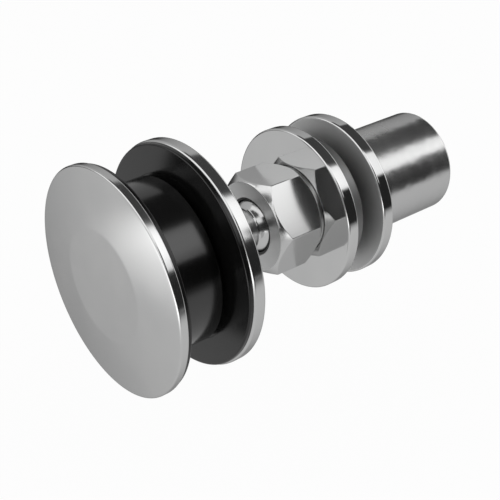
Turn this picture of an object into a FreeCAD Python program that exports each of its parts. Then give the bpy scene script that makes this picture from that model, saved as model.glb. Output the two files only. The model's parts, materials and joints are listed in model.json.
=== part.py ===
# Articulated glass fitting: a ball-jointed clamp that holds a drilled glass panel on a spider arm.
# Frame: +Y runs along the stud from the glass to the arm, +Z is up, millimetres.
# Origin: centre of the face on which the front arm washer bears against the arm.
import FreeCAD, Part
import math
import os
import Sketcher

# Driving dimensions
SIZES = (
    ("disc_radius", 30.0, "outer radius of both glass discs"),
    ("flat_radius", 15.0, "flat centre of the front disc"),
    ("dome_rise", 1.45, "height of the flat centre over the rim"),
    ("dome_arc", 400.0, "radius of the domed slope in section"),
    ("front_rim", 2.4, "band of the front disc behind the dome"),
    ("disc_edge", 0.3, "broken edges of the front disc"),
    ("boss_radius", 11.0, "threaded boss behind the front disc"),
    ("boss_length", 12.0, "length of that boss"),
    ("face_wall", 3.0, "metal left between the blind thread and the flat centre"),
    ("gasket_radius", 29.5, "outer radius of both gaskets"),
    ("gasket_thickness", 1.2, "thickness of both gaskets"),
    ("gasket_edge", 0.3, "rounded outer edge of the gaskets"),
    ("gasket_web", 0.2, "web of the rear gasket inside the hole in the glass, below its seat"),
    ("glass_gap", 16.6, "glass thickness that the gaskets take between them"),
    ("bush_radius", 22.0, "bush that fills the hole in the glass"),
    ("bush_short", 1.8, "how far the bush stops short of the rear gasket"),
    ("bush_play", 0.1, "radial play of the bush in the gaskets and on the boss"),
    ("rear_thickness", 3.5, "thickness of the rear glass disc"),
    ("rear_edge", 0.4, "broken edges of the rear glass disc"),
    ("shank_radius", 7.0, "M14 thread of the ball stud and of the arm stud"),
    ("shank_tip", 0.6, "free end of the shank in the blind thread"),
    ("shank_bevel", 1.0, "bevelled thread ends"),
    ("shank_over", 1.5, "thread that stands past the clamp nut"),
    ("thread_play", 0.05, "radial play of the threads and of the seats in their bores"),
    ("hole_play", 0.2, "radial play of plain holes round the threads"),
    ("spring_radius", 11.0, "outer radius of the split spring washer"),
    ("spring_height", 2.5, "height of the split spring washer"),
    ("spring_slit", 1.6, "width of its slit"),
    ("nut_flats", 22.0, "clamp nut across flats"),
    ("nut_height", 7.0, "clamp nut height"),
    ("nut_bevel", 0.9, "height of the nut's corner bevels"),
    ("nut_face_radius", 10.45, "flat faces of the clamp nut"),
    ("neck_radius", 5.5, "neck of the ball stud"),
    ("neck_fillet", 1.0, "fillet between neck and ball"),
    ("ball_radius", 8.4, "ball"),
    ("ball_reach", 24.5, "ball centre to the rear disc's back"),
    ("ball_play", 0.05, "running clearance of the ball in its seats"),
    ("housing_flats", 25.5, "socket housing across flats"),
    ("housing_turn", 7.4, "turn of the hexagon about the stud in degrees"),
    ("housing_front", 5.0, "ball centre to the housing's front face"),
    ("housing_back", 9.5, "ball centre to the housing's bearing face"),
    ("face_radius", 12.3, "flat front face of the housing"),
    ("front_bevel", 2.3, "length of the front bevel at the hexagon's corners"),
    ("back_radius", 12.6, "inner radius of the back bevel"),
    ("back_bevel", 2.1, "length of the back bevel at the hexagon's corners"),
    ("collar_radius", 12.2, "bearing collar behind the hexagon"),
    ("collar_height", 0.6, "height of that collar"),
    ("mouth_radius", 7.9, "opening for the neck, which holds the wiper ring"),
    ("mouth_edge", 0.25, "broken edge of the opening"),
    ("wiper_recess", 0.3, "wiper ring below the housing's front face"),
    ("wiper_thickness", 1.0, "wiper ring"),
    ("wiper_opening", 7.45, "radius where the wiper ring's lip begins"),
    ("wiper_lip", 0.4, "height of that bevelled lip"),
    ("seat_radius", 10.0, "bore of the front seat ring"),
    ("seat_back", 0.6, "front seat ring's back face ahead of the ball centre"),
    ("cup_wall", 1.15, "wall of the floating seat cup"),
    ("cup_rim", 2.0, "cup rim behind the ball centre"),
    ("cup_hole", 2.0, "radius of the drain hole in the cup's pole"),
    ("head_radius", 11.0, "threaded head of the arm stud"),
    ("washer_radius", 22.6, "both arm washers"),
    ("washer_thickness", 3.6, "both arm washers"),
    ("washer_edge", 0.35, "broken edges of the arm washers"),
    ("arm_gap", 9.0, "arm thickness that the washers take between them"),
    ("collet_radius", 18.6, "bush that fills the hole in the arm"),
    ("collet_length", 5.6, "length of that bush"),
    ("cap_radius", 14.5, "barrel nut"),
    ("cap_length", 31.7, "barrel nut"),
    ("cap_edge", 0.8, "rounded far edge of the barrel nut"),
    ("cap_bore", 24.5, "depth of the barrel nut's blind thread"),
    ("cap_grip", 23.0, "thread of the arm stud inside the barrel nut"),
    ("key_flats", 10.0, "hexagon socket in the barrel nut's end"),
    ("key_depth", 5.5, "depth of that socket"),
)
CORNERS_PER_FLATS = 1.0 / math.sqrt(3.0)
BLANK_MARGIN = 2.0

doc = FreeCAD.newDocument("glass_fitting")
sheet = doc.addObject("Spreadsheet::Sheet", "sizes")


class Size:
    """A length as a number and as the expression that drives it."""

    def __init__(self, value, text):
        self.value = value
        self.text = text

    @staticmethod
    def of(other):
        return other if isinstance(other, Size) else Size(float(other), repr(float(other)))

    def __add__(self, other):
        other = Size.of(other)
        return Size(self.value + other.value, f"({self.text} + {other.text})")

    def __sub__(self, other):
        other = Size.of(other)
        return Size(self.value - other.value, f"({self.text} - {other.text})")

    def __rsub__(self, other):
        return Size.of(other) - self

    def __mul__(self, other):
        other = Size.of(other)
        return Size(self.value * other.value, f"({self.text} * {other.text})")

    def __truediv__(self, other):
        other = Size.of(other)
        return Size(self.value / other.value, f"({self.text} / {other.text})")

    def root(self):
        return Size(math.sqrt(self.value), f"sqrt({self.text})")


def fill_sheet():
    lengths = {}
    for row, (name, value, meaning) in enumerate(SIZES, start=1):
        sheet.set(f"A{row}", meaning)
        sheet.set(f"B{row}", str(value))
        sheet.setAlias(f"B{row}", name)
        lengths[name] = Size(value, f"sizes.{name}")
    doc.recompute()
    return lengths


S = fill_sheet()
ZERO = Size(0.0, "0")


def at_depth(radius, depth):
    """Radius of a sphere's section at a distance from its centre."""
    return (radius * radius - depth * depth).root()


# Places along the stud, from the arm back to the glass and then out to the nut
ball_centre = ZERO - S["washer_thickness"] - S["housing_back"]
housing_start = ball_centre - S["housing_front"]
rear_disc_back = ball_centre - S["ball_reach"]
rear_disc_start = rear_disc_back - S["rear_thickness"]
rear_gasket_start = rear_disc_start - S["gasket_thickness"]
front_disc_back = rear_gasket_start - S["glass_gap"] - S["gasket_thickness"]
front_disc_length = S["dome_rise"] + S["front_rim"]
front_disc_start = front_disc_back - front_disc_length
clamp_nut_start = rear_disc_back + S["spring_height"]
shank_start = front_disc_start + S["face_wall"] + S["shank_tip"]
cap_start = S["arm_gap"] + S["washer_thickness"]

# Radii that several pieces share
thread_bore = S["shank_radius"] + S["thread_play"]
plain_hole = S["shank_radius"] + S["hole_play"]
ball_seat = S["ball_radius"] + S["ball_play"]
cup_outside = ball_seat + S["cup_wall"]
cup_pocket = cup_outside + S["ball_play"]


def new_body(label, start):
    """A body whose own X axis lies along the stud, with its zero at a place along it."""
    body = doc.addObject("PartDesign::Body", label)
    body.Label = label
    body.Placement = FreeCAD.Placement(
        FreeCAD.Vector(0, start.value, 0), FreeCAD.Rotation(FreeCAD.Vector(0, 0, 1), 90))
    body.setExpression("Placement.Base.y", start.text)
    return body


def origin_part(body, role):
    return next(part for part in body.Origin.OriginFeatures if part.Role == role)


def section_arc(begin, end, radius, side):
    """The short arc between two points; side is +1 where it bulges to the left of its chord."""
    chord = end - begin
    height = math.sqrt(max(radius ** 2 - (chord.Length / 2) ** 2, 0.0))
    left = FreeCAD.Vector(-chord.y, chord.x, 0).normalize()
    centre = (begin + end) * 0.5 - left * (side * height)
    first, last = (end, begin) if side > 0 else (begin, end)
    circle = Part.Circle(centre, FreeCAD.Vector(0, 0, 1), radius)
    angles = [math.atan2(point.y - centre.y, point.x - centre.x) for point in (first, last)]
    return Part.ArcOfCircle(circle, angles[0], angles[1])


def half_section(body, name, corners):
    """A closed sketch in the body's XY plane: X along the stud, Y the radius.

    Each corner is (x, radius), or (x, radius, arc radius, side) where an arc
    leads on to the next corner."""
    sketch = body.newObject("Sketcher::SketchObject", name)
    sketch.AttachmentSupport = (origin_part(body, "XY_Plane"), [""])
    sketch.MapMode = "FlatFace"
    points = [FreeCAD.Vector(corner[0].value, corner[1].value, 0) for corner in corners]
    count = len(corners)
    for index, corner in enumerate(corners):
        begin = points[index]
        end = points[(index + 1) % count]
        if len(corner) == 2:
            sketch.addGeometry(Part.LineSegment(begin, end))
            continue
        sketch.addGeometry(section_arc(begin, end, corner[2].value, corner[3]))
    starts = [start_point(sketch, index, point) for index, point in enumerate(points)]
    for index in range(count):
        previous = (index - 1) % count
        closing = 3 - starts[previous]
        sketch.addConstraint(Sketcher.Constraint("Coincident", previous, closing, index, starts[index]))
    for index, corner in enumerate(corners):
        place_point(sketch, index, starts[index], corner)
        if len(corner) > 2:
            number = sketch.addConstraint(Sketcher.Constraint("Radius", index, corner[2].value))
            sketch.setExpression(f"Constraints[{number}]", corner[2].text)
    return sketch


def start_point(sketch, index, point):
    """1 where the edge's own start lies at the point, and 2 where its end does."""
    edge = sketch.Geometry[index]
    return 1 if edge.StartPoint.distanceToPoint(point) < edge.EndPoint.distanceToPoint(point) else 2


def place_point(sketch, index, which, corner):
    for kind, axis, length in (("DistanceX", -2, corner[0]), ("DistanceY", -1, corner[1])):
        if length is ZERO:
            sketch.addConstraint(Sketcher.Constraint("PointOnObject", index, which, axis))
            continue
        number = sketch.addConstraint(Sketcher.Constraint(kind, -1, 1, index, which, length.value))
        sketch.setExpression(f"Constraints[{number}]", length.text)


def turn(body, kind, corners):
    """Adds or cuts the solid that a half section sweeps about the stud."""
    name = f"{body.Label}_{kind.lower()}_{len(body.Group)}"
    section = half_section(body, name + "_section", corners)
    feature = body.newObject("PartDesign::" + kind, name)
    feature.Profile = section
    feature.ReferenceAxis = (origin_part(body, "X_Axis"), [""])
    feature.Angle = 360.0
    doc.recompute()
    return feature


def hexagon(body, kind, flats, height, start=ZERO, turned=ZERO):
    """A hexagonal prism along the stud."""
    prism = body.newObject("PartDesign::" + kind, f"{body.Label}_{kind.lower()}")
    prism.AttachmentSupport = (origin_part(body, "YZ_Plane"), [""])
    prism.MapMode = "FlatFace"
    prism.Polygon = 6
    prism.setExpression("Circumradius", (flats * CORNERS_PER_FLATS).text)
    prism.setExpression("Height", height.text)
    prism.setExpression("AttachmentOffset.Base.z", start.text)
    prism.AttachmentOffset = FreeCAD.Placement(
        FreeCAD.Vector(0, 0, start.value), FreeCAD.Rotation(FreeCAD.Vector(0, 0, -1), turned.value))
    prism.setExpression("AttachmentOffset.Rotation.Angle", turned.text)
    doc.recompute()
    return prism


def ring(label, start, inner, outer, length, front_edge=None, back_edge=None):
    """A turned ring with its outer edges broken where they are named."""
    body = new_body(label, start)
    corners = [(ZERO, inner)]
    if front_edge is None:
        corners.append((ZERO, outer))
    else:
        corners += [(ZERO, outer - front_edge), (front_edge, outer)]
    if back_edge is None:
        corners.append((length, outer))
    else:
        corners += [(length - back_edge, outer), (length, outer - back_edge)]
    corners.append((length, inner))
    turn(body, "Revolution", corners)
    return body


def front_disc():
    body = new_body("front_disc", front_disc_start)
    rim = S["disc_radius"]
    edge = S["disc_edge"]
    boss_end = front_disc_length + S["boss_length"]
    turn(body, "Revolution", [
        (ZERO, ZERO),
        (ZERO, S["flat_radius"], S["dome_arc"], 1),
        (S["dome_rise"], rim - edge),
        (S["dome_rise"] + edge, rim),
        (front_disc_length - edge, rim),
        (front_disc_length, rim - edge),
        (front_disc_length, S["boss_radius"]),
        (boss_end, S["boss_radius"]),
        (boss_end, thread_bore + S["shank_bevel"]),
        (boss_end - S["shank_bevel"], thread_bore),
        (S["face_wall"], thread_bore),
        (S["face_wall"], ZERO),
    ])


def gaskets():
    edge = S["gasket_edge"]
    play = S["bush_play"]
    thickness = S["gasket_thickness"]
    ring("front_gasket", front_disc_back, S["bush_radius"] + play, S["gasket_radius"], thickness,
         back_edge=edge)
    rear = ring("rear_gasket", rear_gasket_start, S["boss_radius"] + play, S["gasket_radius"],
                thickness, front_edge=edge)
    web = S["gasket_web"]
    seat = S["bush_radius"] + play
    turn(rear, "Groove", [(ZERO, ZERO), (ZERO, seat), (web, seat), (web, ZERO)])


def glass_bush():
    length = S["gasket_thickness"] + S["glass_gap"] - S["bush_short"]
    inner = S["boss_radius"] + S["bush_play"]
    edge = S["gasket_edge"]
    ring("glass_bush", front_disc_back, inner, S["bush_radius"], length, edge, edge)


def rear_disc():
    edge = S["rear_edge"]
    ring("rear_disc", rear_disc_start, plain_hole, S["disc_radius"], S["rear_thickness"], edge, edge)


def spring_washer():
    body = ring("spring_washer", rear_disc_back, plain_hole, S["spring_radius"], S["spring_height"])
    slit = body.newObject("PartDesign::SubtractiveBox", "spring_washer_slit")
    slit.AttachmentSupport = (origin_part(body, "XY_Plane"), [""])
    slit.MapMode = "FlatFace"
    slit.setExpression("Length", (S["spring_height"] * 3.0).text)
    slit.setExpression("Width", S["spring_radius"].text)
    slit.setExpression("Height", S["spring_slit"].text)
    slit.setExpression("AttachmentOffset.Base.x", (ZERO - S["spring_height"]).text)
    slit.setExpression("AttachmentOffset.Base.z", (ZERO - S["spring_slit"] / 2.0).text)
    doc.recompute()


def bevelled_end(body, corner_radius, inner_radius, length, at, away):
    """Cuts the cone that bevels a hexagon's corners at one end; away is +1 at the far end."""
    outer = corner_radius + BLANK_MARGIN
    reach = length * (outer - inner_radius) / (corner_radius - inner_radius)
    inward = at - reach if away > 0 else at + reach
    turn(body, "Groove", [(at, inner_radius), (inward, outer), (at, outer)])


def clamp_nut():
    body = new_body("clamp_nut", clamp_nut_start)
    flats = S["nut_flats"]
    corner = flats * CORNERS_PER_FLATS
    hexagon(body, "AdditivePrism", flats, S["nut_height"])
    inner = S["nut_face_radius"]
    bevelled_end(body, corner, inner, S["nut_bevel"], ZERO, -1)
    bevelled_end(body, corner, inner, S["nut_bevel"], S["nut_height"], 1)
    turn(body, "Groove", [
        (ZERO, ZERO), (ZERO, thread_bore), (S["nut_height"], thread_bore), (S["nut_height"], ZERO)])


def ball_stud():
    body = new_body("ball_stud", shank_start)
    centre = ball_centre - shank_start
    thread_end = clamp_nut_start + S["nut_height"] + S["shank_over"] - shank_start
    neck = S["neck_radius"]
    ball = S["ball_radius"]
    fillet = S["neck_fillet"]
    bevel = S["shank_bevel"]
    fillet_back = at_depth(ball + fillet, neck + fillet)
    share = ball / (ball + fillet)
    turn(body, "Revolution", [
        (ZERO, ZERO),
        (ZERO, S["shank_radius"] - bevel),
        (bevel, S["shank_radius"]),
        (thread_end - bevel, S["shank_radius"]),
        (thread_end, neck),
        (centre - fillet_back, neck, fillet, -1),
        (centre - fillet_back * share, (neck + fillet) * share, ball, 1),
        (centre + ball, ZERO),
    ])


def socket_housing():
    body = new_body("socket_housing", housing_start)
    flats = S["housing_flats"]
    corner = flats * CORNERS_PER_FLATS
    length = S["housing_front"] + S["housing_back"]
    hexagon_end = length - S["collar_height"]
    seat_start = S["wiper_recess"] + S["wiper_thickness"]
    seat_end = S["housing_front"] - S["seat_back"]
    outer = corner + BLANK_MARGIN
    reach = S["back_bevel"] * (outer - S["back_radius"]) / (corner - S["back_radius"])
    hexagon(body, "AdditivePrism", flats, length, turned=S["housing_turn"])
    bevelled_end(body, corner, S["face_radius"], S["front_bevel"], ZERO, -1)
    turn(body, "Groove", [
        (hexagon_end - reach, outer),
        (hexagon_end, S["back_radius"]),
        (hexagon_end, S["collar_radius"]),
        (length, S["collar_radius"]),
        (length, outer),
    ])
    turn(body, "Groove", [
        (ZERO, ZERO),
        (ZERO, S["mouth_radius"] + S["mouth_edge"]),
        (S["mouth_edge"], S["mouth_radius"]),
        (seat_start, S["mouth_radius"]),
        (seat_start, S["seat_radius"]),
        (seat_end, S["seat_radius"]),
        (seat_end, S["head_radius"]),
        (length, S["head_radius"]),
        (length, ZERO),
    ])


def seat_section(depth, thickness, outer):
    """A ring in front of the ball centre whose inside follows the ball."""
    front = at_depth(ball_seat, depth)
    back = at_depth(ball_seat, depth - thickness)
    return [(ZERO, front), (ZERO, outer), (thickness, outer), (thickness, back, ball_seat, -1)]


def seats():
    play = S["thread_play"]
    wiper_depth = S["housing_front"] - S["wiper_recess"]
    seat_depth = wiper_depth - S["wiper_thickness"]
    seat_length = seat_depth - S["seat_back"]
    lip = S["wiper_lip"]
    wiper = new_body("wiper_ring", ball_centre - wiper_depth)
    section = seat_section(wiper_depth, S["wiper_thickness"] - play, S["mouth_radius"] - play)
    section[0] = (ZERO, S["wiper_opening"])
    section.append((lip, at_depth(ball_seat, wiper_depth - lip)))
    turn(wiper, "Revolution", section)
    front = new_body("front_seat_ring", ball_centre - seat_depth)
    turn(front, "Revolution", seat_section(seat_depth, seat_length, S["seat_radius"] - play))
    cup = new_body("seat_cup", ball_centre)
    rim = S["cup_rim"]
    hole = S["cup_hole"]
    turn(cup, "Revolution", [
        (rim, at_depth(ball_seat, rim)),
        (rim, at_depth(cup_outside, rim), cup_outside, 1),
        (at_depth(cup_outside, hole), hole),
        (at_depth(ball_seat, hole), hole, ball_seat, -1),
    ])


def arm_stud():
    play = S["thread_play"]
    centre = S["seat_back"] - play
    body = new_body("arm_stud", ball_centre - centre)
    head = S["head_radius"] - play
    head_end = centre + S["housing_back"] - play
    end = centre + S["housing_back"] + S["washer_thickness"] + cap_start + S["cap_grip"]
    shank = S["shank_radius"]
    bevel = S["shank_bevel"]
    turn(body, "Revolution", [
        (ZERO, at_depth(cup_pocket, centre)),
        (ZERO, head),
        (head_end, head),
        (head_end, shank),
        (end - bevel, shank),
        (end, shank - bevel),
        (end, ZERO),
        (centre + cup_pocket, ZERO, cup_pocket, -1),
    ])


def arm_clamp():
    edge = S["washer_edge"]
    thickness = S["washer_thickness"]
    outer = S["washer_radius"]
    ring("front_arm_washer", ZERO - thickness, plain_hole, outer, thickness, edge, edge)
    ring("rear_arm_washer", S["arm_gap"], plain_hole, outer, thickness, edge, edge)
    ring("arm_bush", ZERO, plain_hole, S["collet_radius"], S["collet_length"], back_edge=edge)


def cap_nut():
    body = new_body("cap_nut", cap_start)
    radius = S["cap_radius"]
    length = S["cap_length"]
    edge = S["cap_edge"]
    small = S["disc_edge"]
    turn(body, "Revolution", [
        (ZERO, thread_bore + S["shank_bevel"]),
        (ZERO, radius - small),
        (small, radius),
        (length - edge, radius, edge, 1),
        (length, radius - edge),
        (length, ZERO),
        (S["cap_bore"], ZERO),
        (S["cap_bore"], thread_bore),
        (S["shank_bevel"], thread_bore),
    ])
    hexagon(body, "SubtractivePrism", S["key_flats"], S["key_depth"] * 2.0, length - S["key_depth"])


def check_and_write():
    doc.recompute()
    for item in doc.Objects:
        if "Invalid" in item.State or "Error" in item.State:
            raise RuntimeError(f"{item.Label} did not build: {item.State}")
    os.makedirs("parts", exist_ok=True)
    for item in doc.Objects:
        if item.TypeId != "PartDesign::Body":
            continue
        shape = item.Shape
        if shape.isNull() or not shape.isValid() or len(shape.Solids) != 1:
            raise RuntimeError(f"{item.Label} is not one valid solid")
        shape.exportStep(f"parts/{item.Label}.step")
        print(f"{item.Label}: {shape.Volume / 1000:.3f} cm3")


front_disc()
gaskets()
glass_bush()
rear_disc()
spring_washer()
clamp_nut()
ball_stud()
socket_housing()
seats()
arm_stud()
arm_clamp()
cap_nut()
check_and_write()
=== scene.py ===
# The finished look of a ball-jointed glass fitting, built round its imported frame.
# Metres; +Y runs along the stud from the glass to the arm, +Z is up.
import bpy
import json
import math
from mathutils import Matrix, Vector

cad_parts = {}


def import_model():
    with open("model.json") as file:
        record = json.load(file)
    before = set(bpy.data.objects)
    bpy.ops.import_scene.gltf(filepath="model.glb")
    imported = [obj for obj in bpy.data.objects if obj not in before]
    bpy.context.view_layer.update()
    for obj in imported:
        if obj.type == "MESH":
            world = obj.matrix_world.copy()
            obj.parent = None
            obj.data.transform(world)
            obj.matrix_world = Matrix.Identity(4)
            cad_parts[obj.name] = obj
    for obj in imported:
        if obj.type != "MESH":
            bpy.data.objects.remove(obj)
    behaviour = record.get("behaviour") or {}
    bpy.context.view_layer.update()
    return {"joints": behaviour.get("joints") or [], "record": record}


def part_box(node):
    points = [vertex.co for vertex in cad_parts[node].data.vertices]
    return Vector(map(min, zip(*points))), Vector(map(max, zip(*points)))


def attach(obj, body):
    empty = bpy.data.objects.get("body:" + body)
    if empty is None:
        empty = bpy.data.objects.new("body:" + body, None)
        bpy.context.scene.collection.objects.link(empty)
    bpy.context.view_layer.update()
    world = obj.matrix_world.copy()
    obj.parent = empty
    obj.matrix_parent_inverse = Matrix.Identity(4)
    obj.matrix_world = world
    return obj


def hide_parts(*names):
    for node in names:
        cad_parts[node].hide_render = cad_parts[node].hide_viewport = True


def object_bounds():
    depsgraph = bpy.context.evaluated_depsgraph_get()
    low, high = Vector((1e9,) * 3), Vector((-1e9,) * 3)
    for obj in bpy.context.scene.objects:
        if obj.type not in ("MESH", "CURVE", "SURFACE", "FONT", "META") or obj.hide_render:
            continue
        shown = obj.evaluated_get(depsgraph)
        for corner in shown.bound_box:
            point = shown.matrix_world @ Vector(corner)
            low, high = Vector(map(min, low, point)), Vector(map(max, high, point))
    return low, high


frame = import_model()

MM = 0.001
QUARTER = math.radians(90)

# What the frame's boxes don't say about the pieces
FLAT_RADIUS = 15.0 * MM           # flat centre of the cover disc
DOME_RISE = 1.45 * MM
DOME_ARC = 400.0 * MM             # radius of the domed slope in section
CREASE = 0.45 * MM                # half the width over which the flat turns into the dome
DISC_BAND = 2.4 * MM              # band of the cover disc behind the dome
DISC_EDGE = 0.3 * MM
FACE_WALL = 3.0 * MM              # metal between the blind thread and the flat centre
BOSS_RADIUS = 11.0 * MM
REAR_EDGE = 0.4 * MM
GASKET_HOLE = 22.1 * MM
GASKET_EDGE = 0.3 * MM
GASKET_WEB = 0.2 * MM             # rear gasket inside the hole in the glass, below its seat
BUSH_HOLE = 11.1 * MM
THREAD_RADIUS = 7.0 * MM
THREAD_BORE = 7.05 * MM
THREAD_BEVEL = 1.0 * MM
THREAD_DEPTH = 1.1 * MM
PITCH = 2.0 * MM
GROOVE_ROOT = 0.3 * MM            # width of the thread's groove at its root
GROOVE_MOUTH = 0.92 * PITCH       # and at its mouth
PLAIN_HOLE = 7.2 * MM
SHANK_END = 1.5 * MM              # thread of the ball stud that stands past the clamp nut
NECK_RADIUS = 5.5 * MM
NECK_FILLET = 1.0 * MM
BALL_RADIUS = 8.4 * MM
BALL_CENTRE = frame["joints"][0]["pos_m"][1]
SEAT_PLAY = 0.05 * MM
SEAT_RADIUS = BALL_RADIUS + SEAT_PLAY
CUP_WALL = 1.15 * MM
CUP_RIM = 2.0 * MM                # rim of the seat cup behind the ball's centre
CUP_HOLE = 2.0 * MM
WIPER_OPENING = 7.45 * MM
WIPER_LIP = 0.4 * MM
NUT_FLATS = 22.0 * MM
NUT_FACE_RADIUS = 10.45 * MM
NUT_BEVEL = 0.9 * MM
SLIT = 1.6 * MM                   # slit of the spring washer
SLIT_LEAN = math.radians(20)
HOUSING_FLATS = 25.5 * MM
HOUSING_TURN = math.radians(7.4)
FACE_RADIUS = 12.3 * MM           # flat front face of the housing
FRONT_BEVEL = 2.3 * MM
BACK_RADIUS = 12.6 * MM           # inner radius of the housing's back bevel
BACK_BEVEL = 2.1 * MM
COLLAR_RADIUS = 12.2 * MM
COLLAR_HEIGHT = 0.6 * MM
MOUTH_RADIUS = 7.9 * MM
MOUTH_EDGE = 0.25 * MM
WASHER_EDGE = 0.35 * MM
CAP_EDGE = 0.8 * MM
CAP_BORE_DEPTH = 24.5 * MM
KEY_FLATS = 10.0 * MM
KEY_DEPTH = 5.5 * MM

# How the pieces are drawn
AROUND = 192                      # sides of a turned piece
THREAD_STEPS = 48                 # sides of a turn of the thread
EDGE_ROUND = 1.7                  # radius of a rounded edge for each width of a broken one
HEX_EDGE = 0.22 * MM              # how far back from its corners the housing's hexagon is rounded
SHARP = math.radians(28)          # an edge that bends more than this is rounded
SMOOTH = math.radians(38)         # an edge that bends less than this is shaded smooth
BAR_PAST = 1.0 * MM               # how far a hexagonal bar goes past the piece that it cuts
GROOVE_PAST = 0.06 * MM           # how far a thread's coil stands out of the shank that it cuts
BEVEL_PAST = 1.5 * MM             # how far a bevelling cone goes on past a hexagon's corners
ROUNDING = {                      # how far each piece's sharp edges are rounded
    "front_disc": 0.08 * MM,
    "front_gasket": 0.06 * MM,
    "glass_bush": 0.06 * MM,
    "rear_gasket": 0.06 * MM,
    "rear_disc": 0.06 * MM,
    "front_arm_washer": 0.06 * MM,
    "rear_arm_washer": 0.06 * MM,
    "arm_bush": 0.06 * MM,
    "socket_housing": 0.1 * MM,
    "clamp_nut": 0.12 * MM,
    "spring_washer": 0.2 * MM,
    "ball_stud": 0.05 * MM,
    "arm_stud": 0.05 * MM,
    "wiper_ring": 0.04 * MM,
    "front_seat_ring": 0.08 * MM,
    "seat_cup": 0.08 * MM,
    "cap_nut": 0.08 * MM,
}

# How the finishes vary; the scales of noise are per metre
NOISE_RANGE = (0.3, 0.7)          # what nearly all noise lies between
METAL_EDGE_TINT = 0.45            # tint of metal that is seen nearly edge on
RING_SCALE = 2600.0               # rings that the turning tool leaves
RING_DEPTH = 0.002 * MM
STEEL_CLOUDS = 55.0
STEEL_DARK = (0.96, 0.965, 0.965)
STEEL_LIGHT = (1.03, 1.03, 1.025)
SMEAR_SCALE = 230.0
SMEAR_DEPTH = 0.14 * MM
BORE_BLEND = 0.05 * MM            # half the width over which a bore's roughness begins
GAP_BLEND = 0.04 * MM             # width over which a gap's roughness ends
GAP_MARGIN = 0.02 * MM            # how far the arm gap's roughness reaches into the washers
GAP_ROUGHNESS = 0.55
BLACK_CLOUDS = 90.0
BLACK_GRAIN = 1800.0
BLACK_DEPTH = 0.005 * MM
BLACK_SHEEN = (0.85, 1.2)         # least and most roughness of a black piece, times its own
BLACK_DARK = (0.8, 0.8, 0.8)
BLACK_LIGHT = (1.25, 1.25, 1.25)
POLYMER_CLOUDS = 120.0
POLYMER_RINGS = 2200.0
POLYMER_DEPTH = 0.004 * MM
POLYMER_DARK = (0.94, 0.94, 0.94)
POLYMER_LIGHT = (1, 1, 1)

# Floor and room
FLOOR_DROP = 30 * MM              # floor below the fitting
FLOOR_SIZE = 12.0
FLOOR_GLOW = 0.95                 # what the camera sees of the floor: its glow, and a little light on it
FLOOR_SEEN_GREY = 0.05
FLOOR_GREY = 0.8                  # what the floor throws back at the fitting
ROOM_WHITE = 0.98                 # what the camera and the metal see of the room
ROOM_LIGHT = 0.5                  # how strongly the room lights a matt surface
LAMP_GLOW = 1.0                   # a card that glows more than this lights matt surfaces too

# The photograph, 500 pixels square, and where its camera stood
PICTURE = 500
FOCAL_PIXELS = 1094.2
CAMERA_AZIMUTH = math.radians(50.8)
CAMERA_ELEVATION = math.radians(31.05)
DISC_CENTRE_PIXEL = (108.0, 284.2)
DISC_CENTRE_DEPTH = 264.8 * MM
SENSOR = 36.0
NEAREST_SEEN = 0.01

body_of_node = {node: body
                for body, nodes in frame["record"]["behaviour"]["bodies"].items()
                for node in nodes}


def span(node):
    """Where a node begins and ends along the stud, and its radius."""
    low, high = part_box(node)
    return low[1], high[1], (high[0] - low[0]) / 2


# Drawing
def select_only(piece):
    bpy.ops.object.select_all(action="DESELECT")
    bpy.context.view_layer.objects.active = piece
    piece.select_set(True)


def edit(piece):
    select_only(piece)
    bpy.ops.object.mode_set(mode="EDIT")


def finish_edit():
    """Turns every face outward, and ends the editing."""
    bpy.ops.mesh.select_all(action="SELECT")
    bpy.ops.mesh.normals_make_consistent(inside=False)
    bpy.ops.object.mode_set(mode="OBJECT")


def arc(centre, radius, first, last, count):
    """Stations along an arc in the section, from one angle to another; 0 points away from the glass."""
    angles = [first + (last - first) * step / count for step in range(count + 1)]
    return [(centre[0] + radius * math.cos(a), centre[1] + radius * math.sin(a)) for a in angles]


def on_ball(radius, first, last, count=10):
    """Stations on a sphere about the ball's centre, from one place along the stud to another."""
    places = [first + (last - first) * step / count for step in range(count + 1)]
    return [(y, math.sqrt(radius ** 2 - (y - BALL_CENTRE) ** 2)) for y in places]


def soft_edge(place, rim, width, at_front, slope=0.0):
    """Stations of a rounded outer edge as large as the broken edge that it stands for."""
    radius = width * EDGE_ROUND
    if not radius:
        return [(place, rim)]
    inner = rim - radius
    if at_front:
        centre = (place + radius - slope * width / 2, inner)
        return arc(centre, radius, math.pi - slope, QUARTER, count=5)
    return arc((place - radius, inner), radius, QUARTER, 0.0, count=5)


def bevel_line(begin, end, edge_radius, corner_radius, length, at_front):
    """Stations of the cone that bevels a hexagon's corners, carried a little past them."""
    past = corner_radius + BEVEL_PAST
    reach = length * (past - edge_radius) / (corner_radius - edge_radius)
    if at_front:
        return [(begin, edge_radius), (begin + reach, past)]
    return [(end - reach, past), (end, edge_radius)]


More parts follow.
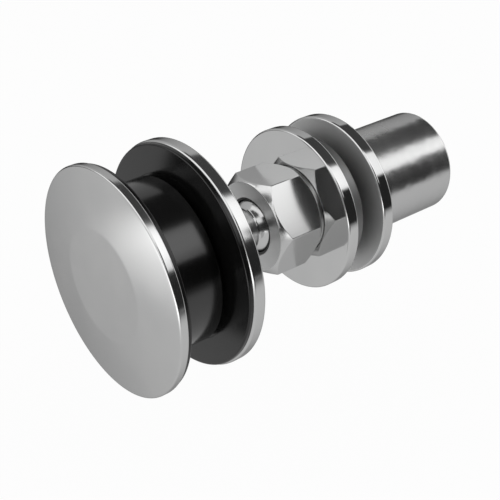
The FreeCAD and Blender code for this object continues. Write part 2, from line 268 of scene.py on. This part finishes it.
def turned(node, stations, ring=True):
    """Turns a node's section about the stud: a circle at the first station, drawn on to the others.

    A ring's section closes on itself, and a solid piece begins and ends on its own axis."""
    places = list(stations) if ring else stations[1:-1]
    begin, radius = places[0]
    bpy.ops.object.select_all(action="DESELECT")
    bpy.ops.mesh.primitive_circle_add(vertices=AROUND, radius=radius, location=(0, begin, 0),
                                      rotation=(QUARTER, 0, 0),
                                      fill_type="NOTHING" if ring else "NGON")
    piece = bpy.context.object
    piece.name = piece.data.name = node + "_turned"
    bpy.ops.object.transform_apply(location=True, rotation=True, scale=True)
    edit(piece)
    bpy.ops.mesh.select_mode(type="VERT" if ring else "EDGE")
    bpy.ops.mesh.select_all(action="SELECT")
    for place, wide in places[1:] + places[:1] if ring else places[1:]:
        bpy.ops.mesh.extrude_edges_move(TRANSFORM_OT_translate={"value": (0, place - begin, 0)})
        grow = wide / radius
        bpy.ops.transform.resize(value=(grow, 1, grow), center_override=(0, place, 0))
        begin, radius = place, wide
    if not ring:
        bpy.ops.mesh.edge_face_add()
    bpy.ops.mesh.select_mode(type="VERT")
    bpy.ops.mesh.select_all(action="SELECT")
    bpy.ops.mesh.remove_doubles(threshold=1e-6)
    finish_edit()
    return piece


def hexagonal_bar(flats, begin, end, turn=0.0, soft=0.0):
    """A hexagonal bar along the stud to cut with; unturned, it has a flat on top."""
    bpy.ops.object.select_all(action="DESELECT")
    bpy.ops.mesh.primitive_circle_add(vertices=6, radius=flats / math.sqrt(3), fill_type="NGON",
                                      location=(0, begin, 0), rotation=(QUARTER, QUARTER / 3 - turn, 0))
    bpy.ops.object.transform_apply(location=True, rotation=True, scale=True)
    bar = bpy.context.object
    edit(bar)
    bpy.ops.mesh.select_all(action="SELECT")
    if soft:
        bpy.ops.mesh.bevel(offset=soft, offset_type="OFFSET", segments=5, affect="VERTICES")
        bpy.ops.mesh.select_all(action="SELECT")
    bpy.ops.mesh.extrude_region_move(TRANSFORM_OT_translate={"value": (0, end - begin, 0)})
    finish_edit()
    return bar


def helical_groove(begin, end):
    """A coil with a thread's tapered section, to cut a shank's thread with."""
    root = THREAD_RADIUS - THREAD_DEPTH
    mouth = THREAD_RADIUS + GROOVE_PAST
    corners = [(root, -GROOVE_ROOT / 2), (mouth, -GROOVE_MOUTH / 2),
               (root, GROOVE_ROOT / 2), (mouth, GROOVE_MOUTH / 2)]
    bpy.ops.object.select_all(action="DESELECT")
    bpy.ops.mesh.primitive_plane_add(size=2.0, location=(0, 0, 0))
    coil = bpy.context.object
    for corner, (across, along) in zip(coil.data.vertices, corners):
        corner.co = (across, begin - PITCH / 2 + along, 0)
    edit(coil)
    bpy.ops.mesh.select_all(action="SELECT")
    bpy.ops.mesh.delete(type="ONLY_FACE")
    bpy.ops.object.mode_set(mode="OBJECT")
    screw = coil.modifiers.new("turns", "SCREW")
    screw.axis = "Y"
    screw.angle = 4 * QUARTER
    screw.screw_offset = PITCH
    screw.iterations = math.ceil((end - begin) / PITCH) + 1
    screw.steps = screw.render_steps = THREAD_STEPS
    bpy.ops.object.modifier_apply(modifier="turns")
    edit(coil)
    bpy.ops.mesh.select_all(action="SELECT")
    bpy.ops.mesh.remove_doubles(threshold=1e-7)
    bpy.ops.mesh.select_all(action="DESELECT")
    bpy.ops.mesh.select_non_manifold()
    bpy.ops.mesh.fill_holes(sides=4)
    finish_edit()
    return coil


def cut_with(piece, cutter, operation):
    """Cuts a piece with another, and throws the cutter away."""
    boolean = piece.modifiers.new("cut", "BOOLEAN")
    boolean.operation = operation
    boolean.object = cutter
    boolean.solver = "EXACT"
    select_only(piece)
    bpy.ops.object.modifier_apply(modifier="cut")
    bpy.data.objects.remove(cutter)


def rounded(piece, width):
    """Rounds the sharp edges a little and shades the rest smooth."""
    bevel = piece.modifiers.new("edges", "BEVEL")
    bevel.width = width
    bevel.segments = 2
    bevel.limit_method = "ANGLE"
    bevel.angle_limit = SHARP
    bevel.use_clamp_overlap = True
    weigh = piece.modifiers.new("normals", "WEIGHTED_NORMAL")
    weigh.keep_sharp = True
    select_only(piece)
    bpy.ops.object.modifier_apply(modifier="edges")
    bpy.ops.object.shade_smooth_by_angle(angle=SMOOTH)
    bpy.ops.object.modifier_apply(modifier="normals")


def stands_for(piece, node, material):
    """Rounds a piece, gives it its finish and puts it in its node's place."""
    rounded(piece, ROUNDING[node])
    piece.data.materials.clear()
    piece.data.materials.append(material)
    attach(piece, body_of_node[node])
    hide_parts(node)


# Shader nodes
def add(tree, kind, **inputs):
    """A node with some of its inputs set."""
    node = tree.nodes.new(kind)
    for key, value in inputs.items():
        node.inputs[key.replace("_", " ")].default_value = value
    return node


def combined(tree, operation, *values):
    """A sum or the like of plain numbers and outputs of nodes."""
    node = tree.nodes.new("ShaderNodeMath")
    node.operation = operation
    for place, value in zip(node.inputs, values):
        if isinstance(value, float):
            place.default_value = value
        else:
            tree.links.new(value, place)
    return node.outputs[0]


def lathe_place(tree):
    """A point, and its radius and place along the stud as one vector, which turned marks follow."""
    where = tree.nodes.new("ShaderNodeTexCoord")
    split = tree.nodes.new("ShaderNodeSeparateXYZ")
    tree.links.new(where.outputs["Object"], split.inputs[0])
    flat = tree.nodes.new("ShaderNodeCombineXYZ")
    tree.links.new(split.outputs["X"], flat.inputs["X"])
    tree.links.new(split.outputs["Z"], flat.inputs["Z"])
    length = tree.nodes.new("ShaderNodeVectorMath")
    length.operation = "LENGTH"
    tree.links.new(flat.outputs[0], length.inputs[0])
    place = tree.nodes.new("ShaderNodeCombineXYZ")
    tree.links.new(length.outputs["Value"], place.inputs["X"])
    tree.links.new(split.outputs["Y"], place.inputs["Y"])
    return where.outputs["Object"], place.outputs[0]


def noise(tree, vector, scale, detail):
    texture = add(tree, "ShaderNodeTexNoise", Scale=scale, Detail=detail)
    tree.links.new(vector, texture.inputs["Vector"])
    return texture.outputs["Fac"]


def ranged(tree, value, low, high):
    """Noise spread from one number to another."""
    spread = add(tree, "ShaderNodeMapRange", To_Min=low, To_Max=high,
                 From_Min=NOISE_RANGE[0], From_Max=NOISE_RANGE[1])
    tree.links.new(value, spread.inputs["Value"])
    return spread.outputs["Result"]


def rougher(tree, value, begin, end, rough, dull):
    """The rough number where a value is below an edge, blending into the dull one above it."""
    step = add(tree, "ShaderNodeMapRange", From_Min=begin, From_Max=end, To_Min=rough)
    tree.links.new(value, step.inputs["Value"])
    tree.links.new(dull, step.inputs["To Max"])
    return step.outputs["Result"]


def coloured(tree, shader, clouds, grey, dark, light):
    """Clouds the colour between two tints of a grey."""
    mix = tree.nodes.new("ShaderNodeMix")
    mix.data_type = "RGBA"
    mix.inputs["A"].default_value = (*(grey * part for part in dark), 1)
    mix.inputs["B"].default_value = (*(grey * part for part in light), 1)
    tree.links.new(ranged(tree, clouds, 0, 1), mix.inputs["Factor"])
    tree.links.new(mix.outputs["Result"], shader.inputs["Base Color"])


def bumped(tree, shader, value, strength, distance, over=None):
    """Roughens the surface, over another roughening if there is one, and returns the result."""
    bump = add(tree, "ShaderNodeBump", Strength=strength, Distance=distance)
    tree.links.new(value, bump.inputs["Height"])
    if over:
        tree.links.new(over, bump.inputs["Normal"])
    tree.links.new(bump.outputs["Normal"], shader.inputs["Normal"])
    return bump.outputs["Normal"]


# Finishes
def finish(name, metallic, grey, roughness):
    """A material of one grey, its nodes and its shader."""
    material = bpy.data.materials.new(name)
    material.use_nodes = True
    shader = material.node_tree.nodes["Principled BSDF"]
    shader.inputs["Metallic"].default_value = metallic
    shader.inputs["Base Color"].default_value = (grey, grey, grey, 1)
    shader.inputs["Roughness"].default_value = roughness
    return material, material.node_tree, shader


def steel(name, grey, roughness, marks=0.15, cloud=0.25, bore=None, gap=None, smears=0.0):
    """Turned stainless steel: fine rings from the tool, and a finish that clouds a little.

    A bore is a radius inside which the surface is rougher, and that roughness. A gap is a place
    along the stud, half a width about it in which the faces are rougher, and that roughness.
    Smears are the strength of an unevenness that makes the edges of reflections ragged."""
    material, tree, shader = finish(name, 1.0, grey, roughness)
    shader.inputs["Specular Tint"].default_value = (METAL_EDGE_TINT, METAL_EDGE_TINT, METAL_EDGE_TINT, 1)
    point, lathe = lathe_place(tree)
    clouds = noise(tree, point, STEEL_CLOUDS, detail=4.0)
    dull = ranged(tree, clouds, roughness * (1 - cloud), roughness * (1 + cloud))
    if bore or gap:
        apart = tree.nodes.new("ShaderNodeSeparateXYZ")
        tree.links.new(lathe, apart.inputs[0])
    if bore:
        edge, rough = bore
        dull = rougher(tree, apart.outputs["X"], edge - BORE_BLEND, edge + BORE_BLEND, rough, dull)
    if gap:
        middle, half, rough = gap
        away = combined(tree, "ABSOLUTE", combined(tree, "SUBTRACT", apart.outputs["Y"], middle))
        dull = rougher(tree, away, half, half + GAP_BLEND, rough, dull)
    tree.links.new(dull, shader.inputs["Roughness"])
    coloured(tree, shader, clouds, grey, STEEL_DARK, STEEL_LIGHT)
    rings = bumped(tree, shader, noise(tree, lathe, RING_SCALE, detail=2.0), marks, RING_DEPTH)
    if smears:
        bumped(tree, shader, noise(tree, point, SMEAR_SCALE, detail=1.0), smears, SMEAR_DEPTH, rings)
    return material


def black(name, grey, roughness, grainy, strength, gloss=1.5):
    """Black rubber, which is grainy, or polymer, which is turned; both have a soft gloss."""
    material, tree, shader = finish(name, 0.0, grey, roughness)
    shader.inputs["IOR"].default_value = gloss
    point, lathe = lathe_place(tree)
    clouds = noise(tree, point, BLACK_CLOUDS, detail=5.0)
    dull = ranged(tree, clouds, roughness * BLACK_SHEEN[0], roughness * BLACK_SHEEN[1])
    tree.links.new(dull, shader.inputs["Roughness"])
    coloured(tree, shader, clouds, grey, BLACK_DARK, BLACK_LIGHT)
    grain = noise(tree, point if grainy else lathe, BLACK_GRAIN, detail=3.0)
    bumped(tree, shader, grain, strength, BLACK_DEPTH)
    return material


def polymer(name, grey, low_roughness, high_roughness):
    """Dark polymer with a dull surface and faint rings."""
    material, tree, shader = finish(name, 0.0, grey, (low_roughness + high_roughness) / 2)
    point, lathe = lathe_place(tree)
    clouds = noise(tree, point, POLYMER_CLOUDS, detail=4.0)
    tree.links.new(ranged(tree, clouds, low_roughness, high_roughness), shader.inputs["Roughness"])
    coloured(tree, shader, clouds, grey, POLYMER_DARK, POLYMER_LIGHT)
    rings = noise(tree, lathe, POLYMER_RINGS, detail=2.0)
    bumped(tree, shader, rings, strength=0.1, distance=POLYMER_DEPTH)
    return material


arm_begin, arm_end = span("front_arm_washer")[1], span("rear_arm_washer")[0]
arm_gap = ((arm_begin + arm_end) / 2, (arm_end - arm_begin) / 2 + GAP_MARGIN, GAP_ROUGHNESS)
disc_steel = steel("satin steel of the discs", grey=0.70, roughness=0.14)
rim_steel = steel("turned steel of the rear disc", grey=0.70, roughness=0.12)
washer_steel = steel("polished steel of the washers", grey=0.70, roughness=0.08, marks=0.05,
                     gap=arm_gap)
nut_steel = steel("milled steel of the hexagon", grey=0.70, roughness=0.16, marks=0.08,
                  bore=(FACE_RADIUS, 0.3))
stud_steel = steel("polished steel of the studs", grey=0.70, roughness=0.15, marks=0.08)
cap_steel = steel("turned steel of the barrel nut", grey=0.67, roughness=0.215, marks=0.2, cloud=0.3,
                  smears=0.8)
# The arm bush's low grey is painted shade: it darkens the gap between the arm washers, while its
# roughness is the bush's own dull finish
bush_metal_darkened_as_shade = steel("dull metal of the arm bush", grey=0.30, roughness=0.5, marks=0.25)
bush_black = black("black polymer of the glass bush", grey=0.002, roughness=0.17, grainy=False,
                   strength=0.05, gloss=1.75)
gasket_black = black("black rubber of the gaskets", grey=0.006, roughness=0.2, grainy=True,
                     strength=0.06)
seat_polymer = polymer("dark polymer of the seats", grey=0.03, low_roughness=0.36, high_roughness=0.48)


# Pieces
def cover_disc():
    """The domed disc outside the glass, with the threaded boss behind it."""
    begin, end, rim = span("front_disc")
    band = begin + DOME_RISE
    back = band + DISC_BAND
    low = (FLAT_RADIUS, 0.0)
    high = (rim - DISC_EDGE, DOME_RISE)
    chord = math.hypot(high[0] - low[0], high[1] - low[1])
    lean = math.atan2(high[1] - low[1], high[0] - low[0])
    half = math.asin(chord / 2 / DOME_ARC)
    centre = (begin + DOME_ARC * math.cos(lean - half), low[0] - DOME_ARC * math.sin(lean - half))
    first = math.pi - (lean - half)
    dome = arc(centre, DOME_ARC, first, first - 2 * half, count=20)
    stations = [
        (begin, 0.0),
        (begin, FLAT_RADIUS / 2),
        (begin, FLAT_RADIUS - CREASE),
        *dome[:-1],
        *soft_edge(band, rim, DISC_EDGE, at_front=True, slope=lean + half),
        *soft_edge(back, rim, DISC_EDGE, at_front=False),
        (back, BOSS_RADIUS),
        (end, BOSS_RADIUS),
        (end, THREAD_BORE + THREAD_BEVEL),
        (end - THREAD_BEVEL, THREAD_BORE),
        (begin + FACE_WALL, THREAD_BORE),
        (begin + FACE_WALL, 0.0),
    ]
    stands_for(turned("front_disc", stations, ring=False), "front_disc", disc_steel)


def flat_ring(node, hole, edge_front, edge_back, material):
    """A turned ring with its outer edges broken."""
    begin, end, rim = span(node)
    stations = [
        (begin, hole),
        *soft_edge(begin, rim, edge_front, at_front=True),
        *soft_edge(end, rim, edge_back, at_front=False),
        (end, hole),
    ]
    stands_for(turned(node, stations), node, material)


def rear_gasket():
    """The ring between glass and rear disc, with the thin web that closes the hole in the glass."""
    begin, end, rim = span("rear_gasket")
    web = begin + GASKET_WEB
    stations = [
        (begin, GASKET_HOLE),
        *soft_edge(begin, rim, GASKET_EDGE, at_front=True),
        (end, rim),
        (end, BUSH_HOLE),
        (web, BUSH_HOLE),
        (web, GASKET_HOLE),
    ]
    stands_for(turned("rear_gasket", stations), "rear_gasket", gasket_black)


def socket_housing():
    """The hexagon with the ball's socket, open at both ends and bevelled at its corners."""
    begin, end, _ = span("socket_housing")
    corner = HOUSING_FLATS / math.sqrt(3)
    hexagon_end = end - COLLAR_HEIGHT
    seat_begin, seat_end, seat_radius = span("front_seat_ring")
    head_radius = span("arm_stud")[2] + SEAT_PLAY
    stations = [
        (begin, MOUTH_RADIUS + MOUTH_EDGE),
        *bevel_line(begin, hexagon_end, FACE_RADIUS, corner, FRONT_BEVEL, at_front=True),
        *bevel_line(begin, hexagon_end, BACK_RADIUS, corner, BACK_BEVEL, at_front=False),
        (hexagon_end, COLLAR_RADIUS),
        (end, COLLAR_RADIUS),
        (end, head_radius),
        (seat_end, head_radius),
        (seat_end, seat_radius + SEAT_PLAY),
        (seat_begin, seat_radius + SEAT_PLAY),
        (seat_begin, MOUTH_RADIUS),
        (begin + MOUTH_EDGE, MOUTH_RADIUS),
    ]
    piece = turned("socket_housing", stations)
    bar = hexagonal_bar(HOUSING_FLATS, begin - BAR_PAST, end + BAR_PAST, HOUSING_TURN, HEX_EDGE)
    cut_with(piece, bar, "INTERSECT")
    stands_for(piece, "socket_housing", nut_steel)


def clamp_nut():
    begin, end, _ = span("clamp_nut")
    corner = NUT_FLATS / math.sqrt(3)
    stations = [
        (begin, THREAD_BORE),
        *bevel_line(begin, end, NUT_FACE_RADIUS, corner, NUT_BEVEL, at_front=True),
        *bevel_line(begin, end, NUT_FACE_RADIUS, corner, NUT_BEVEL, at_front=False),
        (end, THREAD_BORE),
    ]
    piece = turned("clamp_nut", stations)
    cut_with(piece, hexagonal_bar(NUT_FLATS, begin - BAR_PAST, end + BAR_PAST), "INTERSECT")
    stands_for(piece, "clamp_nut", nut_steel)


def spring_washer():
    """A ring with a leaning slit sawn through one side."""
    begin, end, radius = span("spring_washer")
    stations = [(begin, PLAIN_HOLE), (begin, radius), (end, radius), (end, PLAIN_HOLE)]
    piece = turned("spring_washer", stations)
    bpy.ops.object.select_all(action="DESELECT")
    bpy.ops.mesh.primitive_cube_add(size=1.0, location=(radius, (begin + end) / 2, 0),
                                    rotation=(SLIT_LEAN, 0, 0))
    saw = bpy.context.object
    saw.scale = (radius, 4 * radius, SLIT)
    bpy.ops.object.transform_apply(location=True, rotation=True, scale=True)
    cut_with(piece, saw, "DIFFERENCE")
    stands_for(piece, "spring_washer", nut_steel)


def ball_stud():
    """Threaded shank, turned neck and ball, with a fillet that runs from the neck onto the ball."""
    begin, end, _ = span("ball_stud")
    thread_end = span("clamp_nut")[1] + SHANK_END
    fillet_radius = NECK_RADIUS + NECK_FILLET
    before_ball = math.sqrt((BALL_RADIUS + NECK_FILLET) ** 2 - fillet_radius ** 2)
    fillet_centre = (BALL_CENTRE - before_ball, fillet_radius)
    touch = math.atan2(fillet_radius, -before_ball)
    stations = [
        (begin, 0.0),
        (begin, THREAD_RADIUS - THREAD_BEVEL),
        (begin + THREAD_BEVEL, THREAD_RADIUS),
        (thread_end - THREAD_BEVEL, THREAD_RADIUS),
        (thread_end, THREAD_RADIUS - THREAD_BEVEL),
        (thread_end, NECK_RADIUS),
        *arc(fillet_centre, NECK_FILLET, -QUARTER, touch - 2 * QUARTER, count=8),
        *arc((BALL_CENTRE, 0.0), BALL_RADIUS, touch, 0.0, count=40)[1:-1],
        (end, 0.0),
    ]
    piece = turned("ball_stud", stations, ring=False)
    cut_with(piece, helical_groove(begin, thread_end), "DIFFERENCE")
    stands_for(piece, "ball_stud", stud_steel)


def arm_stud():
    """Threaded stud, whose head closes the housing and holds the seat cup in its pocket."""
    begin, end, head_radius = span("arm_stud")
    washer_begin = span("front_arm_washer")[0]
    head_end = washer_begin - SEAT_PLAY
    pocket = SEAT_RADIUS + CUP_WALL + SEAT_PLAY
    stations = [
        *on_ball(pocket, BALL_CENTRE + pocket, begin, count=24),
        (begin, head_radius),
        (head_end, head_radius),
        (head_end, THREAD_RADIUS),
        (end - THREAD_BEVEL, THREAD_RADIUS),
        (end, THREAD_RADIUS - THREAD_BEVEL),
        (end, 0.0),
    ]
    piece = turned("arm_stud", stations, ring=False)
    cut_with(piece, helical_groove(washer_begin + PITCH, end), "DIFFERENCE")
    stands_for(piece, "arm_stud", stud_steel)


def wiper_ring():
    """The ring in the housing's mouth, with a lip that bears on the ball."""
    begin, end, radius = span("wiper_ring")
    stations = [
        (end, radius),
        (begin, radius),
        (begin, WIPER_OPENING),
        *on_ball(SEAT_RADIUS, begin + WIPER_LIP, end),
    ]
    stands_for(turned("wiper_ring", stations), "wiper_ring", gasket_black)


def front_seat_ring():
    begin, end, radius = span("front_seat_ring")
    stations = [(end, radius), (begin, radius), *on_ball(SEAT_RADIUS, begin, end)]
    stands_for(turned("front_seat_ring", stations), "front_seat_ring", seat_polymer)


def seat_cup():
    """The floating cup behind the ball, with a drain hole in its pole."""
    outside = SEAT_RADIUS + CUP_WALL
    rim = BALL_CENTRE + CUP_RIM
    pole_out = BALL_CENTRE + math.sqrt(outside ** 2 - CUP_HOLE ** 2)
    pole_in = BALL_CENTRE + math.sqrt(SEAT_RADIUS ** 2 - CUP_HOLE ** 2)
    stations = [
        *on_ball(outside, rim, pole_out, count=20),
        *on_ball(SEAT_RADIUS, pole_in, rim, count=20),
    ]
    stands_for(turned("seat_cup", stations), "seat_cup", seat_polymer)


def cap_nut():
    """The barrel nut: a blind thread from the arm's side and a key socket in the far end."""
    begin, end, radius = span("cap_nut")
    bore_end = begin + CAP_BORE_DEPTH
    stations = [
        (bore_end, 0.0),
        (bore_end, THREAD_BORE),
        (begin + THREAD_BEVEL, THREAD_BORE),
        (begin, THREAD_BORE + THREAD_BEVEL),
        (begin, radius - DISC_EDGE),
        (begin + DISC_EDGE, radius),
        *arc((end - CAP_EDGE, radius - CAP_EDGE), CAP_EDGE, QUARTER, 0.0, count=6),
        (end, 0.0),
    ]
    piece = turned("cap_nut", stations, ring=False)
    cut_with(piece, hexagonal_bar(KEY_FLATS, end - KEY_DEPTH, end + BAR_PAST), "DIFFERENCE")
    stands_for(piece, "cap_nut", cap_steel)


cover_disc()
flat_ring("front_gasket", GASKET_HOLE, 0.0, GASKET_EDGE, gasket_black)
flat_ring("glass_bush", BUSH_HOLE, GASKET_EDGE, GASKET_EDGE, bush_black)
rear_gasket()
flat_ring("rear_disc", PLAIN_HOLE, REAR_EDGE, REAR_EDGE, rim_steel)
flat_ring("front_arm_washer", PLAIN_HOLE, WASHER_EDGE, WASHER_EDGE, washer_steel)
flat_ring("rear_arm_washer", PLAIN_HOLE, WASHER_EDGE, WASHER_EDGE, washer_steel)
flat_ring("arm_bush", PLAIN_HOLE, 0.0, WASHER_EDGE, bush_metal_darkened_as_shade)
socket_housing()
clamp_nut()
spring_washer()
ball_stud()
arm_stud()
wiper_ring()
front_seat_ring()
seat_cup()
cap_nut()


# Floor and lights
def shown(tree, behind, seen):
    """One shader for the camera, metal and glass to see, and another that lights the object."""
    path = tree.nodes.new("ShaderNodeLightPath")
    direct = combined(tree, "MAXIMUM", path.outputs["Is Camera Ray"], path.outputs["Is Glossy Ray"])
    direct = combined(tree, "MAXIMUM", direct, path.outputs["Is Transmission Ray"])
    mix = tree.nodes.new("ShaderNodeMixShader")
    tree.links.new(direct, mix.inputs["Fac"])
    tree.links.new(behind, mix.inputs[1])
    tree.links.new(seen, mix.inputs[2])
    return mix.outputs[0]


def stage_plane(name, size, centre, turn):
    """A square sheet, and the nodes of its bare material with the input that its shader goes to."""
    bpy.ops.object.select_all(action="DESELECT")
    bpy.ops.mesh.primitive_plane_add(size=size, location=centre, rotation=turn)
    plane = bpy.context.object
    material = bpy.data.materials.new(name)
    material.use_nodes = True
    plane.data.materials.append(material)
    tree = material.node_tree
    tree.nodes.clear()
    return plane, tree, tree.nodes.new("ShaderNodeOutputMaterial").inputs["Surface"]


def floor(height):
    """A floor that the camera sees as plain white, and that lights the fitting from below."""
    plane, tree, surface = stage_plane("white floor", FLOOR_SIZE, (0, 0, height), (0, 0, 0))
    plane.name = "floor"
    pale = add(tree, "ShaderNodeBsdfDiffuse", Color=(FLOOR_GREY, FLOOR_GREY, FLOOR_GREY, 1))
    glow = add(tree, "ShaderNodeEmission", Color=(1, 1, 1, 1), Strength=FLOOR_GLOW)
    dim = add(tree, "ShaderNodeBsdfDiffuse", Color=(FLOOR_SEEN_GREY, FLOOR_SEEN_GREY, FLOOR_SEEN_GREY, 1))
    both = tree.nodes.new("ShaderNodeAddShader")
    tree.links.new(glow.outputs[0], both.inputs[0])
    tree.links.new(dim.outputs[0], both.inputs[1])
    tree.links.new(shown(tree, pale.outputs[0], both.outputs[0]), surface)


def world():
    room = bpy.data.worlds.new("white room")
    bpy.context.scene.world = room
    room.use_nodes = True
    tree = room.node_tree
    tree.nodes.clear()
    dim = add(tree, "ShaderNodeBackground", Color=(1, 1, 1, 1), Strength=ROOM_LIGHT)
    white = add(tree, "ShaderNodeBackground", Color=(1, 1, 1, 1), Strength=ROOM_WHITE)
    output = tree.nodes.new("ShaderNodeOutputWorld")
    tree.links.new(shown(tree, dim.outputs[0], white.outputs[0]), output.inputs["Surface"])


def fading(tree, size, margins):
    """1 over the middle of a card, falling to 0 over the margin along each of its four edges."""
    where = tree.nodes.new("ShaderNodeTexCoord")
    split = tree.nodes.new("ShaderNodeSeparateXYZ")
    tree.links.new(where.outputs["Object"], split.inputs[0])
    edges = (("X", -0.5, size[0]), ("X", 0.5, size[0]), ("Y", -0.5, size[1]), ("Y", 0.5, size[1]))
    share = 1.0
    for (side, edge, length), margin in zip(edges, margins):
        full = edge * (1 - 2 * margin / length)
        fade = add(tree, "ShaderNodeMapRange", From_Min=edge, From_Max=full)
        fade.interpolation_type = "SMOOTHSTEP"
        tree.links.new(split.outputs[side], fade.inputs["Value"])
        share = combined(tree, "MULTIPLY", share, fade.outputs["Result"])
    return share


def card(name, centre, facing, size, glow, margins):
    """A soft-edged card, unseen by the camera: a lamp's face, or a dark flag where it hardly glows."""
    turn = Vector(facing).to_track_quat("Z", "Y").to_euler()
    plane, tree, surface = stage_plane(name, 1.0, centre, turn)
    plane.name = name
    plane.scale = (*size, 1)
    face = add(tree, "ShaderNodeEmission", Color=(1, 1, 1, 1), Strength=glow)
    clear = tree.nodes.new("ShaderNodeBsdfTransparent")
    mix = tree.nodes.new("ShaderNodeMixShader")
    tree.links.new(fading(tree, size, margins), mix.inputs["Fac"])
    tree.links.new(clear.outputs[0], mix.inputs[1])
    tree.links.new(face.outputs[0], mix.inputs[2])
    tree.links.new(mix.outputs[0], surface)
    plane.visible_camera = False
    plane.visible_shadow = False
    plane.visible_diffuse = glow > LAMP_GLOW


def camera():
    """Stands where the photograph's camera stood, found from the cover disc's centre in it."""
    sine_a, cosine_a = math.sin(CAMERA_AZIMUTH), math.cos(CAMERA_AZIMUTH)
    sine_e, cosine_e = math.sin(CAMERA_ELEVATION), math.cos(CAMERA_ELEVATION)
    forward = Vector((-sine_a * cosine_e, cosine_a * cosine_e, -sine_e))
    right = Vector((cosine_a, sine_a, 0))
    up = right.cross(forward)
    across = (DISC_CENTRE_PIXEL[0] - PICTURE / 2) / FOCAL_PIXELS * DISC_CENTRE_DEPTH
    above = (PICTURE / 2 - DISC_CENTRE_PIXEL[1]) / FOCAL_PIXELS * DISC_CENTRE_DEPTH
    disc_centre = Vector((0, span("front_disc")[0] + DOME_RISE, 0))
    data = bpy.data.cameras.new("camera")
    data.sensor_width = SENSOR
    data.lens = SENSOR * FOCAL_PIXELS / PICTURE
    data.clip_start = NEAREST_SEEN
    eye = bpy.data.objects.new("camera", data)
    bpy.context.collection.objects.link(eye)
    eye.location = disc_centre - right * across - up * above - forward * DISC_CENTRE_DEPTH
    eye.rotation_mode = "QUATERNION"
    eye.rotation_quaternion = forward.to_track_quat("-Z", "Y")
    bpy.context.scene.camera = eye


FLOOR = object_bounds()[0][2] - FLOOR_DROP
UP, DOWN = (0, 0, 1), (0, 0, -1)
TO_ARM, TO_GLASS = (0, 1, 0), (0, -1, 0)
TO_RIGHT, TO_LEFT = (1, 0, 0), (-1, 0, 0)

# Each card's name, centre, the way it faces, size, glow, and the soft margins along its edges at low
# and high X and at low and high Y, which are its own axes
CARDS = (
    ("grey sheet", (0, 0, FLOOR + 0.5 * MM), UP, (11, 11), 0.605, (1, 1, 1, 1)),
    ("front window", (-0.18, -0.45, 0.29), TO_ARM, (1.04, 0.38), 1.25, (0.04, 0.04, 0.06, 0.04)),
    ("front wall", (-0.1, -0.9, 0.19), TO_ARM, (2.2, 0.5), 0.42, (0.3, 0.3, 0.001, 0.3)),
    ("front sheet", (0.245, -0.41, FLOOR + MM), UP, (0.81, 0.57), 1.8, (0.05, 0.06, 0.12, 0.05)),
    ("back window", (0.35, 1.0, 0.47), TO_GLASS, (1.0, 0.78), 1.4, (0.1, 0.1, 0.1, 0.1)),
    ("strip light", (0.366, 0.40, 0.458), (-0.6, 0, -0.8), (0.80, 0.54), 1.42, (0.6, 0.1, 0.2, 0.2)),
    ("left wall", (-0.7, 0.1, 0.43), TO_RIGHT, (2.2, 1.16), 0.50, (0.1, 0.1, 0.04, 0.04)),
    ("left skirting", (-0.36, 0.10, 0.0), TO_RIGHT, (1.0, 0.12), 0.09, (0.1, 0.1, 0.001, 0.09)),
    ("left floor flag", (-0.229, 0.2225, FLOOR + 2 * MM), UP, (0.262, 0.555), 0.09,
     (0.012, 0.001, 0.1, 0.02)),
    ("overhead flag", (-0.12, 0.35, 0.62), DOWN, (0.76, 1.4), 0.06, (0.06, 0.06, 0.1, 0.1)),
    ("right flag", (0.30, -0.01, 0.05), TO_LEFT, (0.58, 0.24), 0.02, (0.05, 0.04, 0.035, 0.03)),
    ("right rear flag", (0.305, 0.33, 0.073), TO_LEFT, (0.36, 0.336), 0.02, (0.05, 0.06, 0.035, 0.05)),
    ("right floor flag", (0.235, 0.25, FLOOR + 2 * MM), UP, (0.17, 0.9), 0.09,
     (0.001, 0.16, 0.1, 0.1)),
    ("camera side flag", (0.50, -0.35, 0.20), (-1, 0.4, 0), (0.8, 0.9), 0.03,
     (0.04, 0.04, 0.04, 0.04)),
)

camera()
floor(FLOOR)
world()
for row in CARDS:
    card(*row)

bpy.context.scene.view_settings.view_transform = "Standard"
